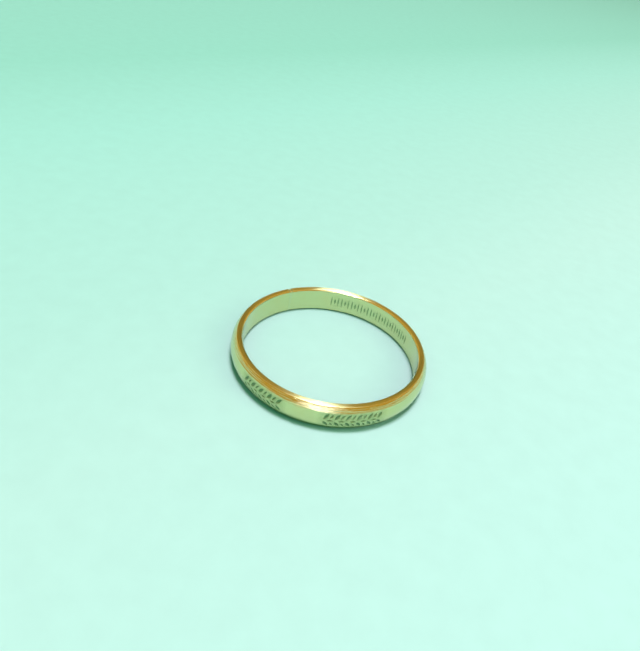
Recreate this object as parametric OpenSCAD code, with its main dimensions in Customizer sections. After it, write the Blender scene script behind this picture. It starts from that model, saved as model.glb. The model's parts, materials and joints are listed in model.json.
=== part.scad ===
// Plain half-round wedding band with bright-cut engraving. The band lies on one side face,
// with +Z along the finger and the origin in the middle of the lower side face.

/* [Band] */
// Inside diameter, where the finger goes
bore_d = 17; // [15:0.25:22]
// Width of the band along the finger
band_w = 2.6; // [2.2:0.1:4]
// Thickness of the side faces, from the bore to the foot of the dome
side_t = 0.55; // [0.55:0.05:1]
// Height of the half-round dome above its two feet
dome_rise = 0.5; // [0.35:0.05:0.6]
// Radius of the two rounded edges of the bore
bore_edge_r = 0.3; // [0.1:0.05:0.3]
// Radius of the two rounded edges at the feet of the dome
dome_edge_r = 0.2; // [0.1:0.05:0.25]

/* [Solder seam] */
// Direction of the seam, counted from +X towards +Y
seam_az = 135; // [125:1:195]
// Width of the solder between the two ends of the strip
seam_w = 0.25; // [0.1:0.05:0.3]
// How far the solder has sunk below the polished surface
seam_sink = 0.03; // [0:0.01:0.05]

/* [Outside engraving] */
// Direction of the middle of the first sprig
first_sprig_az = 245; // [235:1:250]
// Pairs of leaves of the first sprig
first_sprig_pairs = 5; // [3:1:6]
// Direction of the middle of the second sprig
second_sprig_az = 297.5; // [290:0.5:305]
// Pairs of leaves of the second sprig
second_sprig_pairs = 6; // [3:1:7]
// Angle round the band from one pair of leaves to the next
leaf_pitch = 5.9; // [5.6:0.1:7]
// Height of a leaf's middle above or below the middle of the band
leaf_height = 0.4; // [0.38:0.02:0.46]
// Depth of a leaf at its middle
leaf_depth = 0.09; // [0.06:0.01:0.1]
// Depth of the buds and of the stem
stem_depth = 0.06; // [0.04:0.01:0.07]

/* [Inside engraving] */
// Direction of the middle of the inside border
border_az = 70.5; // [65:0.5:75]
// Groups of marks in the border
border_groups = 9; // [3:1:10]
// Angle round the bore from one group to the next
border_pitch = 7.6; // [6:0.1:9]
// Depth of the marks
mark_depth = 0.05; // [0.03:0.01:0.08]

/* [Hidden] */

$fn = 96;
ring_fn = 240;

bore_r = bore_d / 2;
dome_foot_r = bore_r + side_t;
crown_r = dome_foot_r + dome_rise;
half_w = band_w / 2;
// The dome's arc goes through both feet and the crown.
dome_r = (dome_rise * dome_rise + half_w * half_w) / (2 * dome_rise);
dome_centre_r = crown_r - dome_r;
seam_angle = 2 * asin(seam_w / 2 / bore_r);
// How far a rounded foot would stand out of the dome's arc, so that the two cross
foot_overlap = 0.0005;

// A graver mark is the rim of a lens: sweep_r is the lens's radius, wall_angle is the angle of
// each wall of its V groove from the upright.
leaf_sweep_r = 1.1;
leaf_wall_angle = 62;
leaf_slant = 52;
bud_sweep_r = 0.7;
bud_wall_angle = 60;
bud_height = 0.44;
stem_sweep_r = 0.6;
stem_wall_angle = 54;
// How far each stem cut lies before the middle between two pairs, as a share of the pitch
stem_lead = 0.1;
bar_sweep_r = 4;
bar_wall_angle = 60;
bar_spread = 1.3;
lozenge_sweep_r = 1.3;
lozenge_wall_angle = 67;

gold = [0.86, 0.70, 0.40];
solder = [0.90, 0.79, 0.55];

// The inner part of the section with both bore edges rounded, out to the radius outer_r and sunk
// below the surface by inset.
module bore_side(outer_r, inset) {
    inner_r = bore_r + inset;
    edge_z = inset + bore_edge_r;
    translate([inner_r, edge_z]) square([outer_r - inner_r, band_w - 2 * edge_z]);
    translate([inner_r + bore_edge_r, inset])
        square([outer_r - inner_r - bore_edge_r, band_w - 2 * inset]);
    for (z = [edge_z, band_w - edge_z])
        translate([inner_r + bore_edge_r, z]) circle(bore_edge_r);
}

// The D-shaped section of the band, radius along X and height along Y.
module band_section(inset = 0) {
    arc_r = dome_r - inset;
    low = inset + dome_edge_r;
    high = band_w - low;
    reach = arc_r - dome_edge_r + foot_overlap;
    foot_drop = half_w - low;
    foot_run = sqrt(reach * reach - foot_drop * foot_drop);
    foot_r = dome_centre_r + foot_run;
    intersection() {
        union() {
            bore_side(foot_r, inset);
            polygon([
                [foot_r - bore_edge_r, low],
                [foot_r, low],
                [foot_r + foot_run, low - foot_drop],
                [foot_r + foot_run, high + foot_drop],
                [foot_r, high],
                [foot_r - bore_edge_r, high]
            ]);
            for (z = [low, high])
                translate([foot_r, z]) circle(dome_edge_r);
        }
        translate([dome_centre_r, half_w]) circle(arc_r, $fn = ring_fn);
    }
}

// A boat-shaped V groove along X, pointed at both ends, in a surface that faces +Z at the origin.
module graver_mark(sweep_r, wall_angle, depth) {
    centre_offset = sweep_r / tan(wall_angle);
    ball_r = sweep_r / sin(wall_angle);
    translate([0, 0, sweep_r - depth])
        intersection() {
            translate([0, centre_offset, 0]) sphere(ball_r);
            translate([0, -centre_offset, 0]) sphere(ball_r);
        }
}

// Puts its children on the dome: X runs round the band, Y up the band and Z out of it.
module on_dome(az, height) {
    lean = asin(height / dome_r);
    rotate([0, 0, az])
        translate([dome_centre_r, 0, half_w])
            rotate([0, 90 - lean, 0])
                translate([0, 0, dome_r])
                    rotate([0, 0, 90]) children();
}

// Puts its children on the wall of the bore, with Z towards the axis and Y up the band.
module on_bore(az, height) {
    rotate([0, 0, az])
        translate([bore_r, 0, half_w + height])
            rotate([0, -90, 0])
                rotate([0, 0, -90]) children();
}

// A sprig: pairs of slanting leaves, one up and one down, with a pair of smaller buds and a
// short stroke of stem between one pair of leaves and the next. No two cuts touch.
module sprig(middle_az, pairs) {
    for (i = [0 : pairs - 1]) {
        az = middle_az + (i - (pairs - 1) / 2) * leaf_pitch;
        for (side = [-1, 1])
            on_dome(az, side * leaf_height)
                rotate([0, 0, side * leaf_slant])
                    graver_mark(leaf_sweep_r, leaf_wall_angle, leaf_depth);
        if (i < pairs - 1) {
            for (side = [-1, 1])
                on_dome(az + leaf_pitch / 2, side * bud_height)
                    rotate([0, 0, side * leaf_slant])
                        graver_mark(bud_sweep_r, bud_wall_angle, stem_depth);
            on_dome(az + (0.5 - stem_lead) * leaf_pitch, 0)
                graver_mark(stem_sweep_r, stem_wall_angle, stem_depth);
        }
    }
}

// A border of upright bars, each pair with a lozenge between.
module border() {
    for (i = [0 : border_groups - 1]) {
        az = border_az + (i - (border_groups - 1) / 2) * border_pitch;
        for (side = [-1, 1])
            on_bore(az + side * border_pitch / 4 * bar_spread, 0)
                rotate([0, 0, 90])
                    graver_mark(bar_sweep_r, bar_wall_angle, mark_depth);
        on_bore(az, 0)
            rotate([0, 0, 90])
                graver_mark(lozenge_sweep_r, lozenge_wall_angle, mark_depth);
    }
}

// The strip of gold, bent round until its two ends face each other across the seam.
module band_shank() {
    color(gold)
        difference() {
            rotate([0, 0, seam_az + seam_angle / 2])
                rotate_extrude(angle = 360 - seam_angle, $fn = ring_fn) band_section();
            sprig(first_sprig_az, first_sprig_pairs);
            sprig(second_sprig_az, second_sprig_pairs);
            border();
        }
}

// The hard solder that joins the two ends and closes the band.
module solder_seam() {
    color(solder)
        rotate([0, 0, seam_az - seam_angle / 2])
            rotate_extrude(angle = seam_angle, $fn = ring_fn) band_section(seam_sink);
}

band_shank();
solder_seam();
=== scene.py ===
"""Half-round gold wedding band with bright-cut engraving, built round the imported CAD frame."""

import json
import math

import bpy
import numpy as np
from mathutils import Matrix, Vector


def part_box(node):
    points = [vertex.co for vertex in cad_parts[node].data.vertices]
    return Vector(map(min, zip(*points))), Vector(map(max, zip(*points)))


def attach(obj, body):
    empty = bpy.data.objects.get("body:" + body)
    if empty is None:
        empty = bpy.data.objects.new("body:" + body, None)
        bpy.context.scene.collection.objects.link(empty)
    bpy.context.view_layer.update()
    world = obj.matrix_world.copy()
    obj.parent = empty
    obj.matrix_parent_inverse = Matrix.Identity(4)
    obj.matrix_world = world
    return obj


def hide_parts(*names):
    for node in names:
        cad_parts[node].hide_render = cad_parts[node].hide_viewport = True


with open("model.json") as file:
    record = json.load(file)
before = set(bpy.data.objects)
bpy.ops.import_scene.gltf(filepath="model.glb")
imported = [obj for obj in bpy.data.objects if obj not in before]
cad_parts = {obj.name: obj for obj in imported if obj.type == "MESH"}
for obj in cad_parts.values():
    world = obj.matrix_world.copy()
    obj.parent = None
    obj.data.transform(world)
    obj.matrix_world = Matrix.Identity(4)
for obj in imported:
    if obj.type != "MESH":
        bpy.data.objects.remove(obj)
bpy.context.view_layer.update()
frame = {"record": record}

MM = 0.001

# ---------------------------------------------------------------- sizes
mounts = {m["name"]: m for m in frame["record"]["mounts"]}
band_low, band_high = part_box("band_shank")
BORE_R = mounts["finger_bore"]["dims"]["r_mm"] * MM
WIDTH = band_high.z - band_low.z
HALF_WIDTH = WIDTH / 2
SIDE_T = 0.55 * MM
DOME_RISE = 0.50 * MM
CROWN_R = BORE_R + SIDE_T + DOME_RISE
DOME_R = (DOME_RISE**2 + HALF_WIDTH**2) / (2 * DOME_RISE)
DOME_CENTRE_R = CROWN_R - DOME_R
BORE_EDGE_R = 0.30 * MM
DOME_EDGE_R = 0.20 * MM

SEAM_AZ = 135.0
SEAM_W = 0.25 * MM
SEAM_SINK = 0.03 * MM
SEAM_SHOULDER = 0.10 * MM
SEAM_HALF = math.degrees(math.asin(SEAM_W / 2 / BORE_R))

# ---------------------------------------------------------------- engraving
LEAF_PITCH = 5.9
SPRIGS = ((245.0, 5), (297.5, 6))  # direction of each sprig's middle, and its pairs of leaves
LEAF_HEIGHT = 0.40 * MM
LEAF_SLANT = 52.0
LEAF_LENGTH = 0.75 * MM
LEAF_DEPTH = 0.09 * MM
LEAF_WALL = 62.0
BUD_HEIGHT = 0.44 * MM
BUD_LENGTH = 0.53 * MM
BUD_WALL = 60.0
STEM_LENGTH = 0.52 * MM
STEM_DEPTH = 0.06 * MM
STEM_WALL = 54.0
# How far each stem cut lies before the middle between two pairs, as a share of the pitch
STEM_LEAD = 0.1

BORDER_AZ = 70.5
BORDER_GROUPS = 9
BORDER_PITCH = 7.6
BAR_LENGTH = 1.26 * MM
BAR_SPREAD = 1.3
LOZENGE_LENGTH = 0.71 * MM
MARK_DEPTH = 0.05 * MM
BAR_WALL = 60.0
LOZENGE_WALL = 67.0

EDGE_SOFTNESS = 0.004 * MM
# A groove's rounded lip ends where the line of its wall is this many softnesses above the surface.
LIP_REACH = 8


def groove(across, depth_here, wall_angle):
    """Depth of a V groove with its bottom and its lips slightly rounded."""
    blunt = np.sqrt(across**2 + EDGE_SOFTNESS**2) - EDGE_SOFTNESS
    v = depth_here - blunt / math.tan(math.radians(wall_angle))
    return 0.5 * (v + np.sqrt(v**2 + EDGE_SOFTNESS**2)) * (v > -LIP_REACH * EDGE_SOFTNESS)


def graver_mark(x, y, slant, length, depth, wall_angle):
    """Depth of one boat-shaped cut with pointed ends, centred on the origin."""
    c, s = math.cos(math.radians(slant)), math.sin(math.radians(slant))
    along, across = x * c + y * s, y * c - x * s
    return groove(across, depth * (1 - (2 * along / length) ** 2), wall_angle)


def sprig_depth(x, y, pairs):
    """Depth of a sprig at x round the band and y up it, both from the sprig's middle."""
    pitch = math.radians(LEAF_PITCH) * CROWN_R
    depth = np.zeros(np.broadcast(x, y).shape)
    for i in range(pairs):
        at = (i - (pairs - 1) / 2) * pitch
        half_way = at + pitch / 2
        cuts = []
        for side in (-1, 1):
            slant = side * LEAF_SLANT
            cuts.append((at, side * LEAF_HEIGHT, slant, LEAF_LENGTH, LEAF_DEPTH, LEAF_WALL))
            if i < pairs - 1:
                cuts.append((half_way, side * BUD_HEIGHT, slant, BUD_LENGTH, STEM_DEPTH, BUD_WALL))
        if i < pairs - 1:
            stem_at = half_way - STEM_LEAD * pitch
            cuts.append((stem_at, 0.0, 0.0, STEM_LENGTH, STEM_DEPTH, STEM_WALL))
        for across, up, slant, length, deepest, wall_angle in cuts:
            cut = graver_mark(x - across, y - up, slant, length, deepest, wall_angle)
            depth = np.maximum(depth, cut)
    return depth


def border_depth(x, y):
    """Depth of the inside border at x round the bore and y up it."""
    pitch = math.radians(BORDER_PITCH) * BORE_R
    depth = np.zeros(np.broadcast(x, y).shape)
    for i in range(BORDER_GROUPS):
        at = (i - (BORDER_GROUPS - 1) / 2) * pitch
        for side in (-1, 1):
            bar_x = x - at - side * pitch / 4 * BAR_SPREAD
            depth = np.maximum(depth, graver_mark(bar_x, y, 90, BAR_LENGTH, MARK_DEPTH, BAR_WALL))
        lozenge = graver_mark(x - at, y, 90, LOZENGE_LENGTH, MARK_DEPTH, LOZENGE_WALL)
        depth = np.maximum(depth, lozenge)
    return depth


# ---------------------------------------------------------------- the D section
# A row of the section holds its radius from the axis, its height, the two parts of its outward
# normal, the wall that it is on, and its height on that wall.
RADIUS, HEIGHT, NORMAL_R, NORMAL_Z, WALL, UP_WALL = range(6)
PLAIN, ON_DOME, ON_BORE = range(3)
# Rows round each rounded edge of the bore and each rounded foot of the dome
EDGE_ROWS = 7
FOOT_ROWS = 6

# Spacing of the rows on the plain walls, beside the engraving and within it
DOME_STEP = 0.09 * MM
BORE_STEP = 0.20 * MM
BESIDE_STEP = 0.10 * MM
DOME_CUT_STEP = 0.025 * MM
BORE_CUT_STEP = 0.034 * MM
# Half the height of the fine rows on each wall
DOME_CUT_HALF = 0.80 * MM
BORE_CUT_HALF = 0.68 * MM


def graded(half, fine_half, fine_step, coarse_step):
    """Places from -half to half, closer together within fine_half of the middle."""
    inner = np.linspace(-fine_half, fine_half, max(2, round(2 * fine_half / fine_step) + 1))
    steps = max(1, round((half - fine_half) / coarse_step))
    outer = np.linspace(fine_half, half, steps + 1)[1:]
    return np.concatenate([-outer[::-1], inner, outer])


def arc_rows(centre_r, centre_z, radius, angles, wall=PLAIN):
    """Rows on an arc about a centre, at the given angles from the outward radius."""
    c, s = np.cos(angles), np.sin(angles)
    y = DOME_R * angles if wall == ON_DOME else 0 * angles
    return np.stack(
        [centre_r + radius * c, centre_z + radius * s, c, s, 0 * c + wall, y], axis=1
    )


def section(dome_y, bore_y):
    """The band's section as rows in order round it, from the foot of the bore's wall."""
    reach = DOME_R - DOME_EDGE_R
    foot_drop = HALF_WIDTH - DOME_EDGE_R
    foot_lean = math.asin(foot_drop / reach)
    foot_r = DOME_CENTRE_R + reach * math.cos(foot_lean)
    bore_rows = np.stack(
        [
            0 * bore_y + BORE_R,
            HALF_WIDTH + bore_y,
            0 * bore_y - 1,
            0 * bore_y,
            0 * bore_y + ON_BORE,
            bore_y,
        ],
        axis=1,
    )
    edge_turn = np.linspace(0, math.pi / 2, EDGE_ROWS)
    foot_turn = np.linspace(0, math.pi / 2 - foot_lean, FOOT_ROWS)
    edge_r = BORE_R + BORE_EDGE_R
    return np.concatenate(
        [
            bore_rows,
            arc_rows(edge_r, WIDTH - BORE_EDGE_R, BORE_EDGE_R, math.pi - edge_turn[1:]),
            arc_rows(foot_r, WIDTH - DOME_EDGE_R, DOME_EDGE_R, math.pi / 2 - foot_turn[:-1]),
            arc_rows(DOME_CENTRE_R, HALF_WIDTH, DOME_R, dome_y[::-1] / DOME_R, ON_DOME),
            arc_rows(foot_r, DOME_EDGE_R, DOME_EDGE_R, -foot_lean - foot_turn[1:]),
            arc_rows(edge_r, BORE_EDGE_R, BORE_EDGE_R, -math.pi / 2 - edge_turn[:-1]),
        ]
    )


def dome_half_height():
    """How far the dome's arc runs along its own curve, from the crown to each rounded foot."""
    reach = DOME_R - DOME_EDGE_R
    return DOME_R * math.asin((HALF_WIDTH - DOME_EDGE_R) / reach)


BORE_HALF = HALF_WIDTH - BORE_EDGE_R
DOME_HALF = dome_half_height()
dome_plain = graded(DOME_HALF, DOME_HALF / 2, DOME_STEP, DOME_STEP)
bore_plain = graded(BORE_HALF, BORE_HALF / 2, BORE_STEP, BORE_STEP)
dome_fine = graded(DOME_HALF, DOME_CUT_HALF, DOME_CUT_STEP, BESIDE_STEP)
bore_fine = graded(BORE_HALF, BORE_CUT_HALF, BORE_CUT_STEP, BESIDE_STEP)
SECTIONS = {
    PLAIN: section(dome_plain, bore_plain),
    ON_DOME: section(dome_fine, bore_plain),
    ON_BORE: section(dome_plain, bore_fine),
}

# ---------------------------------------------------------------- surface depth
# Hand polishing leaves slight waves: how many go round the band, where they start and how far
# they lean as they climb it.
POLISH_WAVES = 7
polish_rng = np.random.default_rng(11)
POLISH = [
    (int(polish_rng.integers(5, 26)), polish_rng.uniform(0, 2 * math.pi), polish_rng.uniform(-1, 1))
    for _ in range(POLISH_WAVES)
]
POLISH_HEIGHT = 0.0007 * MM
POLISH_LEAN = 0.3 * MM

# The painted shade round a sprig and round the border: half its height and how far it fades, and how
# many pitches it spills past the sprig's ends. The border has a share of what the sprigs have.
SPRIG_SHADE_HALF = 0.95 * MM
SPRIG_SHADE_FADE = 0.30 * MM
SPRIG_SHADE_SPILL = 0.35
BORDER_SHADE_HALF = 0.75 * MM
BORDER_SHADE_FADE = 0.25 * MM
BORDER_SHADE_SHARE = 0.25

# How many pitches past the engraving's ends its cuts are worked out
CUT_MARGIN = 0.3

# The solder: how much deeper its trough is in the middle, and the pits, which come in groups
SOLDER_SAG = 0.5
PIT_DEPTH = 0.12 * SEAM_SINK
PIT_SPACING = 0.09 * MM
PIT_SLANT = 2.1
PIT_GROUP_SPACING = 0.23 * MM
PIT_GROUP_START = 1.3


def fade(distance, end, width):
    """1 near by, falling to 0 at end over the last width before it."""
    return np.clip((end - distance) / width, 0, 1)


def near_border(az):
    """Angle from the middle of the border to az, either way."""
    return np.abs((az - BORDER_AZ + 180) % 360 - 180)


def shade_film_share(az, rows):
    """Share of the painted shade that darkens the band round the engraving."""
    az, up = az[:, None], np.abs(rows[None, :, UP_WALL])
    wall = rows[None, :, WALL]
    share = np.zeros((az.shape[0], rows.shape[0]))
    sides = fade(up, SPRIG_SHADE_HALF, SPRIG_SHADE_FADE)
    for middle, pairs in SPRIGS:
        end = (pairs / 2 + SPRIG_SHADE_SPILL) * LEAF_PITCH
        share += fade(np.abs(az - middle), end, LEAF_PITCH) * sides * (wall == ON_DOME)
    ends = fade(near_border(az), BORDER_GROUPS / 2 * BORDER_PITCH, BORDER_PITCH / 2)
    sides = fade(up, BORDER_SHADE_HALF, BORDER_SHADE_FADE)
    share += BORDER_SHADE_SHARE * ends * sides * (wall == ON_BORE)
    return np.clip(share, 0, 1)


def band_depth(az, rows):
    """How far the band's surface lies below the plain section, and how much of that takes dirt and
    painted shade.
    """
    az, y = az[:, None], rows[None, :, UP_WALL]
    wall = rows[None, :, WALL]
    depth = np.zeros((az.shape[0], rows.shape[0]))
    for middle, pairs in SPRIGS:
        x = np.radians(az - middle) * CROWN_R
        reach = (pairs / 2 + CUT_MARGIN) * math.radians(LEAF_PITCH) * CROWN_R
        near = np.abs(x[:, 0]) < reach
        if near.any():
            cut = sprig_depth(x[near], y, pairs)
            depth[near] = np.maximum(depth[near], np.where(wall == ON_DOME, cut, 0))
    x = np.radians(az - BORDER_AZ) * BORE_R
    x = (x + math.pi * BORE_R) % (2 * math.pi * BORE_R) - math.pi * BORE_R
    reach = (BORDER_GROUPS / 2 + CUT_MARGIN) * math.radians(BORDER_PITCH) * BORE_R
    near = np.abs(x[:, 0]) < reach
    if near.any():
        depth[near] = np.where(wall == ON_BORE, border_depth(x[near], y), depth[near])
    cut_depth = depth.copy()
    for turns, phase, lean in POLISH:
        swell = np.sin(np.radians(az) * turns + phase + lean * y / POLISH_LEAN)
        depth += POLISH_HEIGHT * (1 + swell)
    # The ends of the strip are rounded over where they meet the solder.
    from_seam = np.abs((az - SEAM_AZ + 180) % 360 - 180) - SEAM_HALF
    run = np.clip(1 - np.radians(from_seam) * CROWN_R / SEAM_SHOULDER, 0, 1)
    depth += SEAM_SINK * run**2
    # Painted shade and dirt lie in the cuts, and dirt lies where the rounded ends meet the solder on
    # the side faces.
    on_sides = np.clip(2 * np.abs(rows[None, :, NORMAL_Z]) - 0.6, 0, 1)
    return depth, np.maximum(cut_depth, MARK_DEPTH * run * on_sides)


def solder_depth(az, rows):
    """How far the solder lies below the plain section: a shallow, slightly pitted trough."""
    az, z = az[:, None], rows[None, :, HEIGHT]
    across = np.clip((az - SEAM_AZ) / SEAM_HALF, -1, 1)
    hollow = 1 - across**2
    trough = SEAM_SINK * (1 + SOLDER_SAG * hollow)
    groups = np.sin(z / PIT_GROUP_SPACING + PIT_GROUP_START)
    pits = np.sin(z / PIT_SPACING + PIT_SLANT * across) * groups
    depth = trough + PIT_DEPTH * pits * hollow
    return depth, np.zeros_like(depth)


# ---------------------------------------------------------------- mesh
# Length of the step along the surface by which its slope is measured
NUDGE = 0.002 * MM
# Angles between neighbouring columns on the plain stretches, a sprig and the border
PLAIN_TURN = 1.2
SPRIG_TURN = 0.14
BORDER_TURN = 0.21
# The fine columns run this many pitches past a sprig, and start this angle after the plain ones.
SPRIG_SPILL = 0.1
ZONE_MARGIN = 0.4
# Columns round each rounded end of the strip, and across the solder
SHOULDER_COLUMNS = 7
SEAM_COLUMNS = 9


def column_points(az, rows, depth_of):
    """Points, outward normals and depths that take dirt and painted shade, for every direction and
    every row.
    """
    depth, cut = depth_of(az, rows)
    turn = math.degrees(NUDGE / CROWN_R)
    by_az = (depth_of(az + turn, rows)[0] - depth_of(az - turn, rows)[0]) / (2 * NUDGE)
    up, down = rows.copy(), rows.copy()
    up[:, UP_WALL] += NUDGE
    down[:, UP_WALL] -= NUDGE
    by_y = (depth_of(az, up)[0] - depth_of(az, down)[0]) / (2 * NUDGE)
    a = np.radians(az)[:, None]
    radial = np.stack([np.cos(a), np.sin(a), 0 * a], axis=2)
    round_band = np.stack([-np.sin(a), np.cos(a), 0 * a], axis=2)
    upward = np.array([0.0, 0.0, 1.0])
    nr, nz = rows[None, :, NORMAL_R, None], rows[None, :, NORMAL_Z, None]
    flat_normal = nr * radial + nz * upward
    climb = np.where(rows[None, :, WALL, None] == ON_BORE, -1, 1)
    up_wall = climb * (nr * upward - nz * radial)
    surface = rows[None, :, RADIUS, None] * radial + rows[None, :, HEIGHT, None] * upward
    points = surface - depth[:, :, None] * flat_normal
    normals = flat_normal + by_az[:, :, None] * round_band + by_y[:, :, None] * up_wall
    normals /= np.linalg.norm(normals, axis=2, keepdims=True)
    return points, normals, cut


def perimeter(rows):
    """Share of the way round the section at each row."""
    loop = np.vstack([rows, rows[:1]])[:, [RADIUS, HEIGHT]]
    step = np.hypot(*np.diff(loop, axis=0).T)
    return np.concatenate([[0], np.cumsum(step)[:-1]]) / step.sum()


def bridge(first_a, rows_a, first_b, rows_b):
    """Faces between two neighbouring columns: quads where their rows match, else triangles."""
    na, nb = len(rows_a), len(rows_b)
    if rows_a is rows_b:
        return [
            (first_a + i, first_a + (i + 1) % na, first_b + (i + 1) % na, first_b + i)
            for i in range(na)
        ]
    pa = np.append(perimeter(rows_a), 1.0)
    pb = np.append(perimeter(rows_b), 1.0)
    faces, i, j = [], 0, 0
    while i < na or j < nb:
        step_a = j == nb or (i < na and pa[i + 1] <= pb[j + 1])
        here_a, here_b = first_a + i % na, first_b + j % nb
        if step_a:
            faces.append((here_a, first_a + (i + 1) % na, here_b))
            i += 1
        else:
            faces.append((here_a, first_b + (j + 1) % nb, here_b))
            j += 1
    return faces


def swept_mesh(name, stretches, depth_of):
    """A closed mesh swept round the axis. stretches is a list of (directions, rows)."""
    points, normals, cuts, shade_film, faces, firsts = [], [], [], [], [], []
    count = 0
    for az, rows in stretches:
        p, n, c = column_points(az, rows, depth_of)
        points.append(p.reshape(-1, 3))
        normals.append(n.reshape(-1, 3))
        cuts.append(c.reshape(-1))
        shade_film.append(shade_film_share(az, rows).reshape(-1))
        for _ in az:
            firsts.append((count, rows))
            count += len(rows)
    for (first_a, rows_a), (first_b, rows_b) in zip(firsts[:-1], firsts[1:]):
        faces += bridge(first_a, rows_a, first_b, rows_b)
    start, start_rows = firsts[0]
    end, end_rows = firsts[-1]
    faces.append(tuple(range(start + len(start_rows) - 1, start - 1, -1)))
    faces.append(tuple(range(end, end + len(end_rows))))
    mesh = bpy.data.meshes.new(name)
    mesh.from_pydata(np.concatenate(points).tolist(), [], faces)
    # The cut layer carries the dirt and painted shade in the cuts; the other layer carries the
    # painted shade round the engraving.
    layers = {"cut": np.concatenate(cuts) / MARK_DEPTH, "shade_film": np.concatenate(shade_film)}
    for kind, values in layers.items():
        layer = mesh.attributes.new(kind, "FLOAT", "POINT")
        layer.data.foreach_set("value", values.astype(np.float32))
    mesh.shade_smooth()
    corner_normals = np.concatenate(normals)[loop_vertices(mesh)]
    for cap in mesh.polygons[-2:]:
        corners = slice(cap.loop_start, cap.loop_start + cap.loop_total)
        corner_normals[corners] = cap.normal
    mesh.normals_split_custom_set(corner_normals.tolist())
    piece = bpy.data.objects.new(name, mesh)
    bpy.context.scene.collection.objects.link(piece)
    return piece


def loop_vertices(mesh):
    """The vertex at each corner of each face."""
    found = np.empty(len(mesh.loops), np.int64)
    mesh.loops.foreach_get("vertex_index", found)
    return found


def directions(start, end, step):
    """Evenly spaced directions from start to end, about a step apart."""
    return np.linspace(start, end, max(2, round((end - start) / step) + 1))


def band_stretches():
    """Directions and rows for the whole band, finest where it is engraved."""
    zones = []
    for middle, pairs in SPRIGS:
        half = (pairs / 2 + SPRIG_SPILL) * LEAF_PITCH
        zones.append((middle - half, middle + half, ON_DOME, SPRIG_TURN))
    half = BORDER_GROUPS / 2 * BORDER_PITCH
    zones.append((BORDER_AZ + 360 - half, BORDER_AZ + 360 + half, ON_BORE, BORDER_TURN))
    at = SEAM_AZ + SEAM_HALF
    end = SEAM_AZ - SEAM_HALF + 360
    shoulder = math.degrees(SEAM_SHOULDER / CROWN_R)
    rounding = shoulder * np.linspace(0, 1, SHOULDER_COLUMNS)
    stretches = [(at + rounding, SECTIONS[PLAIN])]
    at += shoulder
    for low, high, kind, step in sorted(zones):
        stretches.append((directions(at, low - ZONE_MARGIN, PLAIN_TURN)[1:], SECTIONS[PLAIN]))
        stretches.append((directions(low, high, step), SECTIONS[kind]))
        at = high
    stretches.append((directions(at, end - shoulder, PLAIN_TURN)[1:-1], SECTIONS[PLAIN]))
    stretches.append((end - rounding[::-1], SECTIONS[PLAIN]))
    return stretches


band = swept_mesh("gold_band", band_stretches(), band_depth)
seam_directions = SEAM_AZ + SEAM_HALF * np.linspace(-1, 1, SEAM_COLUMNS)
seam = swept_mesh("solder_joint", [(seam_directions, SECTIONS[PLAIN])], solder_depth)
for piece, node, slot in ((band, "band_shank", "yellow_gold"), (seam, "solder_seam", "gold_solder")):
    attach(piece, "root")
    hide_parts(node)


# ---------------------------------------------------------------- materials
class Nodes:
    """A short way to add nodes to a material or a world and link them."""

    def __init__(self, owner):
        owner.use_nodes = True
        self.tree = owner.node_tree
        self.tree.nodes.clear()

    def add(self, kind, settings=None, **inputs):
        """A node with its inputs fed by name, or by number where the key is _ and a number."""
        node = self.tree.nodes.new(kind)
        for key, value in (settings or {}).items():
            setattr(node, key, value)
        for key, value in inputs.items():
            socket = node.inputs[int(key[1:])] if key[1:].isdigit() else node.inputs[key]
            if isinstance(value, bpy.types.NodeSocket):
                self.tree.links.new(value, socket)
            else:
                socket.default_value = value
        return node

    def math(self, operation, a, b=0.0, c=0.0):
        return self.add("ShaderNodeMath", {"operation": operation}, _0=a, _1=b, _2=c).outputs[0]

    def mix(self, factor, a, b):
        node = self.add("ShaderNodeMix", {"data_type": "RGBA"}, _0=factor, _6=a, _7=b)
        return node.outputs[2]

    def smooth_step(self, value, low, high):
        """0 up to low, 1 from high on, and a smooth rise between."""
        smooth = {"interpolation_type": "SMOOTHSTEP"}
        return self.add("ShaderNodeMapRange", smooth, _0=value, _1=low, _2=high).outputs[0]

    def ramp(self, factor, stops):
        node = self.add("ShaderNodeValToRGB", _0=factor)
        ramp = node.color_ramp
        while len(ramp.elements) < len(stops):
            ramp.elements.new(0.5)
        for element, (place, colour) in zip(ramp.elements, stops):
            element.position = place
            element.color = (*colour, 1)
        return node.outputs[0]


# Dark green painted shade for the cuts and round the engraving; in the cuts it stands for dirt as
# well.
DIRT_AND_SHADE_TONE = (0.10, 0.22, 0.09, 1)
# How upright the surface's normal is where the side faces' finish starts and is whole, and the
# same for the fine lines that run on down to the feet of the dome
SIDE_FINISH = (0.60, 0.92)
LINE_FINISH = (0.22, 0.50)
# Share of the lines' height that is left on the walls
WALL_LINES = 0.15
# The lines' spacing across the band, and how often they change round it
BROAD_LINES = (0.18 * MM, 1.2)
HAIR_LINES = (0.03 * MM, 9.0)
HAIR_HEIGHT = 0.12
CLOUD_SCALE = 700.0
SPECKLE_SCALE = 3200.0
# The painted shade round the engraving at its thinnest, and how much its speckle adds
SHADE_FILM_LEAST = 0.10
SHADE_FILM_SPECKLE = 0.5
# How much of the surface the dirt and painted shade take over, and what they do to the shine
DIRT_AND_SHADE_MOST = 0.92
DIRT_AND_SHADE_METALLIC = -0.65
DIRT_AND_SHADE_ROUGHNESS = 0.30
SIDE_ROUGHNESS = 0.38
CLOUD_ROUGHNESS = 0.06
WALL_ANISOTROPY = 0.40
SIDE_ANISOTROPY = 1.0


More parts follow.
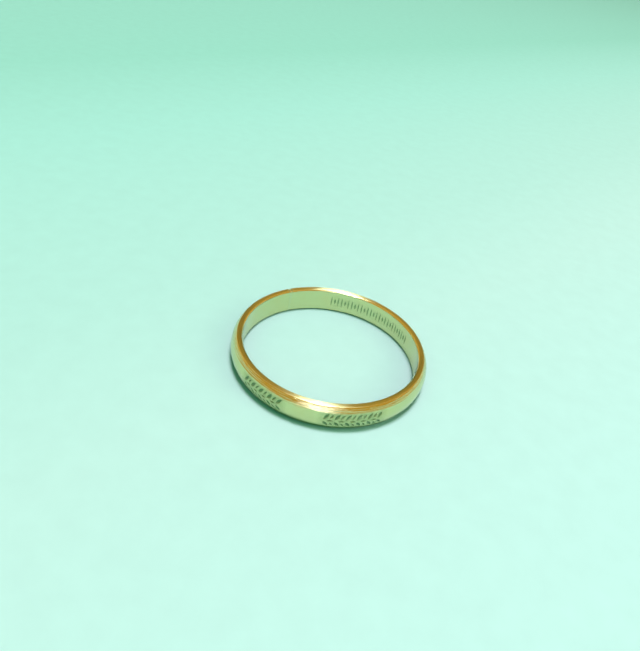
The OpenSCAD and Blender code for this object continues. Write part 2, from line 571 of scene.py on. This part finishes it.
def gold_material(name, colour, copper, rough, line_bump):
    """Gold alloy, polished on its walls and drawn over fine paper on its sides and edges."""
    material = bpy.data.materials.new(name)
    n = Nodes(material)
    coordinates = n.add("ShaderNodeTexCoord").outputs
    place = coordinates["Object"]
    turn_to_seam = math.radians(180 - SEAM_AZ)  # the angle's jump then lies at the seam
    turned = n.add(
        "ShaderNodeVectorRotate", {"rotation_type": "Z_AXIS"}, Vector=place, Angle=turn_to_seam
    ).outputs[0]
    xyz = n.add("ShaderNodeSeparateXYZ", Vector=turned).outputs
    flat = n.add("ShaderNodeCombineXYZ", X=xyz[0], Y=xyz[1]).outputs[0]
    radius = n.add("ShaderNodeVectorMath", {"operation": "LENGTH"}, _0=flat).outputs["Value"]
    angle = n.math("ARCTAN2", xyz[1], xyz[0])

    def lines(spacing, turns):
        """Noise drawn out round the band: spacing across it, turns is how often it changes."""
        stretched = n.add(
            "ShaderNodeCombineXYZ",
            X=n.math("MULTIPLY", radius, 1 / spacing),
            Y=n.math("MULTIPLY", xyz[2], 1 / spacing),
            Z=n.math("MULTIPLY", angle, turns),
        ).outputs[0]
        return n.add(
            "ShaderNodeTexNoise", Vector=stretched, Scale=1.0, Detail=2.0, Roughness=0.6
        ).outputs[0]

    # 0 on the walls of the bore and the dome, 1 on the side faces
    normal = n.add("ShaderNodeSeparateXYZ", Vector=coordinates["Normal"]).outputs
    upright = n.math("ABSOLUTE", normal[2])
    side = n.smooth_step(upright, *SIDE_FINISH)
    broad = lines(*BROAD_LINES)
    hair = lines(*HAIR_LINES)
    cloud = n.add("ShaderNodeTexNoise", Vector=place, Scale=CLOUD_SCALE, Detail=3.0).outputs[0]
    on_lines = n.smooth_step(upright, *LINE_FINISH)
    drawn = n.math("MULTIPLY_ADD", on_lines, 1 - WALL_LINES, WALL_LINES)
    height = n.math("MULTIPLY", n.math("MULTIPLY_ADD", hair, HAIR_HEIGHT, broad), drawn)
    bumped = n.add("ShaderNodeBump", Height=height, Strength=1.0, Distance=line_bump).outputs[0]
    in_cut = n.add("ShaderNodeAttribute", {"attribute_name": "cut"}).outputs["Fac"]
    shade_film = n.add("ShaderNodeAttribute", {"attribute_name": "shade_film"}).outputs["Fac"]
    speckle = n.add("ShaderNodeTexNoise", Vector=place, Scale=SPECKLE_SCALE, Detail=2.0).outputs[0]
    shade_film_strength = n.math("MULTIPLY_ADD", speckle, SHADE_FILM_SPECKLE, SHADE_FILM_LEAST)
    # Painted shade: the cuts and a film round the engraving turn dark green, less metallic and
    # rougher; in the cuts this is also dirt.
    dirt_and_shade = n.math("MULTIPLY_ADD", shade_film, shade_film_strength, in_cut)
    dirt_and_shade_amount = n.math("MULTIPLY", n.math("SMOOTH_MIN", dirt_and_shade, 1.0, 0.2), DIRT_AND_SHADE_MOST)
    tone = n.mix(n.ramp(cloud, ((0.35, (0, 0, 0)), (0.7, (1, 1, 1)))), colour, copper)
    tone = n.mix(dirt_and_shade_amount, tone, DIRT_AND_SHADE_TONE)
    roughness = n.math("MULTIPLY_ADD", cloud, CLOUD_ROUGHNESS, rough - CLOUD_ROUGHNESS / 2)
    roughness = n.math("MULTIPLY_ADD", side, SIDE_ROUGHNESS - rough, roughness)
    roughness = n.math("MULTIPLY_ADD", dirt_and_shade_amount, DIRT_AND_SHADE_ROUGHNESS, roughness)
    anisotropy = n.math("MULTIPLY_ADD", side, SIDE_ANISOTROPY - WALL_ANISOTROPY, WALL_ANISOTROPY)
    tangent = n.add("ShaderNodeTangent", {"direction_type": "RADIAL", "axis": "Z"}).outputs[0]
    shader = n.add(
        "ShaderNodeBsdfPrincipled",
        **{
            "Base Color": tone,
            "Metallic": n.math("MULTIPLY_ADD", dirt_and_shade_amount, DIRT_AND_SHADE_METALLIC, 1.0),
            "Roughness": roughness,
            "Anisotropic": anisotropy,
            "Anisotropic Rotation": 0.25,
            "Tangent": tangent,
            "Normal": bumped,
        },
    )
    n.add("ShaderNodeOutputMaterial", Surface=shader.outputs[0])
    return material


GOLD = (0.645, 0.66, 0.345, 1)
GOLD_COPPER = (0.66, 0.635, 0.32, 1)
SOLDER = (0.64, 0.66, 0.39, 1)
band.data.materials.append(gold_material("yellow_gold", GOLD, GOLD_COPPER, 0.12, 0.08 * MM))
seam.data.materials.append(gold_material("gold_solder", SOLDER, GOLD, 0.22, 0.06 * MM))


# ---------------------------------------------------------------- floor, light and camera
CAMERA_AZ = 279.0
CAMERA_ELEVATION = 36.2
CAMERA_ROLL = 11.1
CAMERA_DISTANCE = 59.26 * MM
CAMERA_LENS = 33.2
CAMERA_SENSOR = 36.0
CAMERA_NEAR = 1.0 * MM
AIM_RIGHT = -0.73 * MM
AIM_UP = 3.42 * MM

FLOOR_HALF = 0.6
# Painted shade deepens the floor's tone in this direction, over this distance, as the light falls
# off.
# This share of the distance lies before the band.
FLOOR_SHADE_AZ = CAMERA_AZ - 132
FLOOR_SHADE_RUN = 130 * MM
FLOOR_SHADE_BEFORE = 0.23
GRAIN_DEPTH = 0.08


def from_directions(az, elevation, distance):
    """The point at a distance from the origin, in a direction and at an elevation."""
    a, e = math.radians(az), math.radians(elevation)
    return distance * Vector((math.cos(a) * math.cos(e), math.sin(a) * math.cos(e), math.sin(e)))


def floor_material():
    """Pale paper with a faint grain, and painted shade that deepens its tone towards the far left,
    where the light falls off.
    """
    material = bpy.data.materials.new("pale_floor")
    n = Nodes(material)
    place = n.add("ShaderNodeTexCoord").outputs["Object"]
    far_left = n.add(
        "ShaderNodeVectorMath",
        {"operation": "DOT_PRODUCT"},
        _0=place,
        _1=from_directions(FLOOR_SHADE_AZ, 0, 1 / FLOOR_SHADE_RUN),
    ).outputs["Value"]
    # Painted shade: the floor darkens, most of all in red, towards the far left.
    tone = n.ramp(
        n.math("ADD", far_left, FLOOR_SHADE_BEFORE),
        (
            (0.0, (0.63, 0.80, 0.87)),
            (0.23, (0.60, 0.765, 0.81)),
            (0.37, (0.53, 0.74, 0.765)),
            (0.70, (0.435, 0.73, 0.725)),
            (1.0, (0.35, 0.67, 0.63)),
        ),
    )
    grain = n.add("ShaderNodeTexNoise", Vector=place, Scale=450.0, Detail=4.0).outputs[0]
    shade = n.math("MULTIPLY_ADD", grain, GRAIN_DEPTH, 1 - GRAIN_DEPTH / 2)
    tone = n.add(
        "ShaderNodeVectorMath", {"operation": "SCALE"}, _0=tone, Scale=shade
    ).outputs["Vector"]
    shader = n.add("ShaderNodeBsdfPrincipled", **{"Base Color": tone, "Roughness": 0.85})
    n.add("ShaderNodeOutputMaterial", Surface=shader.outputs[0])
    return material


bpy.ops.mesh.primitive_plane_add(size=2 * FLOOR_HALF, location=(0, 0, 0))
floor = bpy.context.object
floor.name = "floor"
floor.data.materials.append(floor_material())


def softbox(name, az, elevation, distance, size, power, colour=(1, 1, 1)):
    """A rectangular lamp that faces the band. size is its level width and its height."""
    light = bpy.data.lights.new(name, "AREA")
    light.shape = "RECTANGLE"
    light.size, light.size_y = size
    light.energy = power
    light.color = colour
    lamp = bpy.data.objects.new(name, light)
    back = from_directions(az, elevation, 1.0)
    level = Vector((0, 0, 1)).cross(back).normalized()
    turn = Matrix((level, back.cross(level), back)).transposed().to_4x4()
    lamp.matrix_world = Matrix.Translation(distance * back) @ turn
    bpy.context.scene.collection.objects.link(lamp)
    return lamp


# The key is nearly overhead, so the band only shades the strip of floor under its own bulge.
# The fills light that strip, most of all on the right. The gold's shine takes none of these
# lamps; only the floor and the painted shade in and round the engraving take them.
key = softbox("key", CAMERA_AZ - 228, 88, 1.2, (0.34, 0.34), 11.2)
near_fill = softbox("near_fill", CAMERA_AZ - 10, 48, 1.0, (1.4, 1.4), 5.4, (0.22, 1.0, 0.48))
far_fill = softbox("far_fill", CAMERA_AZ + 170, 48, 1.0, (1.4, 1.4), 1.5, (0.22, 1.0, 0.48))
side_fill = softbox("side_fill", CAMERA_AZ + 75, 38, 1.0, (0.5, 0.5), 2.4, (0.70, 1.0, 0.62))
for lamp in (key, near_fill, far_fill, side_fill):
    lamp.visible_glossy = False
# A long lamp overhead and a window on the near side show only as highlights.
glint = softbox("glint", CAMERA_AZ, 84, 1.2, (0.05, 0.42), 13.5, (0.78, 0.90, 1.0))
window = softbox("window", CAMERA_AZ, 19, 1.0, (0.46, 0.52), 3.0, (0.72, 0.75, 1.0))
for lamp in (glint, window):
    lamp.visible_diffuse = False
    lamp.visible_camera = False

world = bpy.data.worlds.new("warm_room")
bpy.context.scene.world = world
world.cycles_visibility.diffuse = False
w = Nodes(world)
# The room is darkest low down on the far side, and brightest round that patch.
dark_way = w.add(
    "ShaderNodeVectorMath",
    {"operation": "DOT_PRODUCT"},
    _0=w.add("ShaderNodeTexCoord").outputs["Generated"],
    _1=from_directions(CAMERA_AZ - 180, 20, 1.0),
).outputs["Value"]
room = w.ramp(
    dark_way,
    (
        (0.0, (0.66, 0.39, 0.085)),
        (0.78, (0.92, 0.54, 0.11)),
        (0.90, (0.62, 0.38, 0.10)),
        (0.95, (0.07, 0.10, 0.04)),
    ),
)
background = w.add("ShaderNodeBackground", Color=room, Strength=1.0)
w.add("ShaderNodeOutputWorld", Surface=background.outputs[0])


def place_camera():
    """The camera looks down at the band, rolled a little, with the band below its middle."""
    back = from_directions(CAMERA_AZ, CAMERA_ELEVATION, 1.0)
    level = Vector((0, 0, 1)).cross(back).normalized()
    upright = back.cross(level)
    roll = math.radians(CAMERA_ROLL)
    right = math.cos(roll) * level + math.sin(roll) * upright
    up_image = -math.sin(roll) * level + math.cos(roll) * upright
    data = bpy.data.cameras.new("camera")
    data.sensor_width = CAMERA_SENSOR
    data.lens = CAMERA_LENS
    data.clip_start = CAMERA_NEAR
    camera = bpy.data.objects.new("camera", data)
    turn = Matrix((right, up_image, back)).transposed().to_4x4()
    place = CAMERA_DISTANCE * back + AIM_RIGHT * right + AIM_UP * up_image
    camera.matrix_world = Matrix.Translation(place) @ turn
    bpy.context.scene.collection.objects.link(camera)
    bpy.context.scene.camera = camera


place_camera()
bpy.context.scene.view_settings.view_transform = "Standard"
bpy.context.scene.cycles.caustics_reflective = False
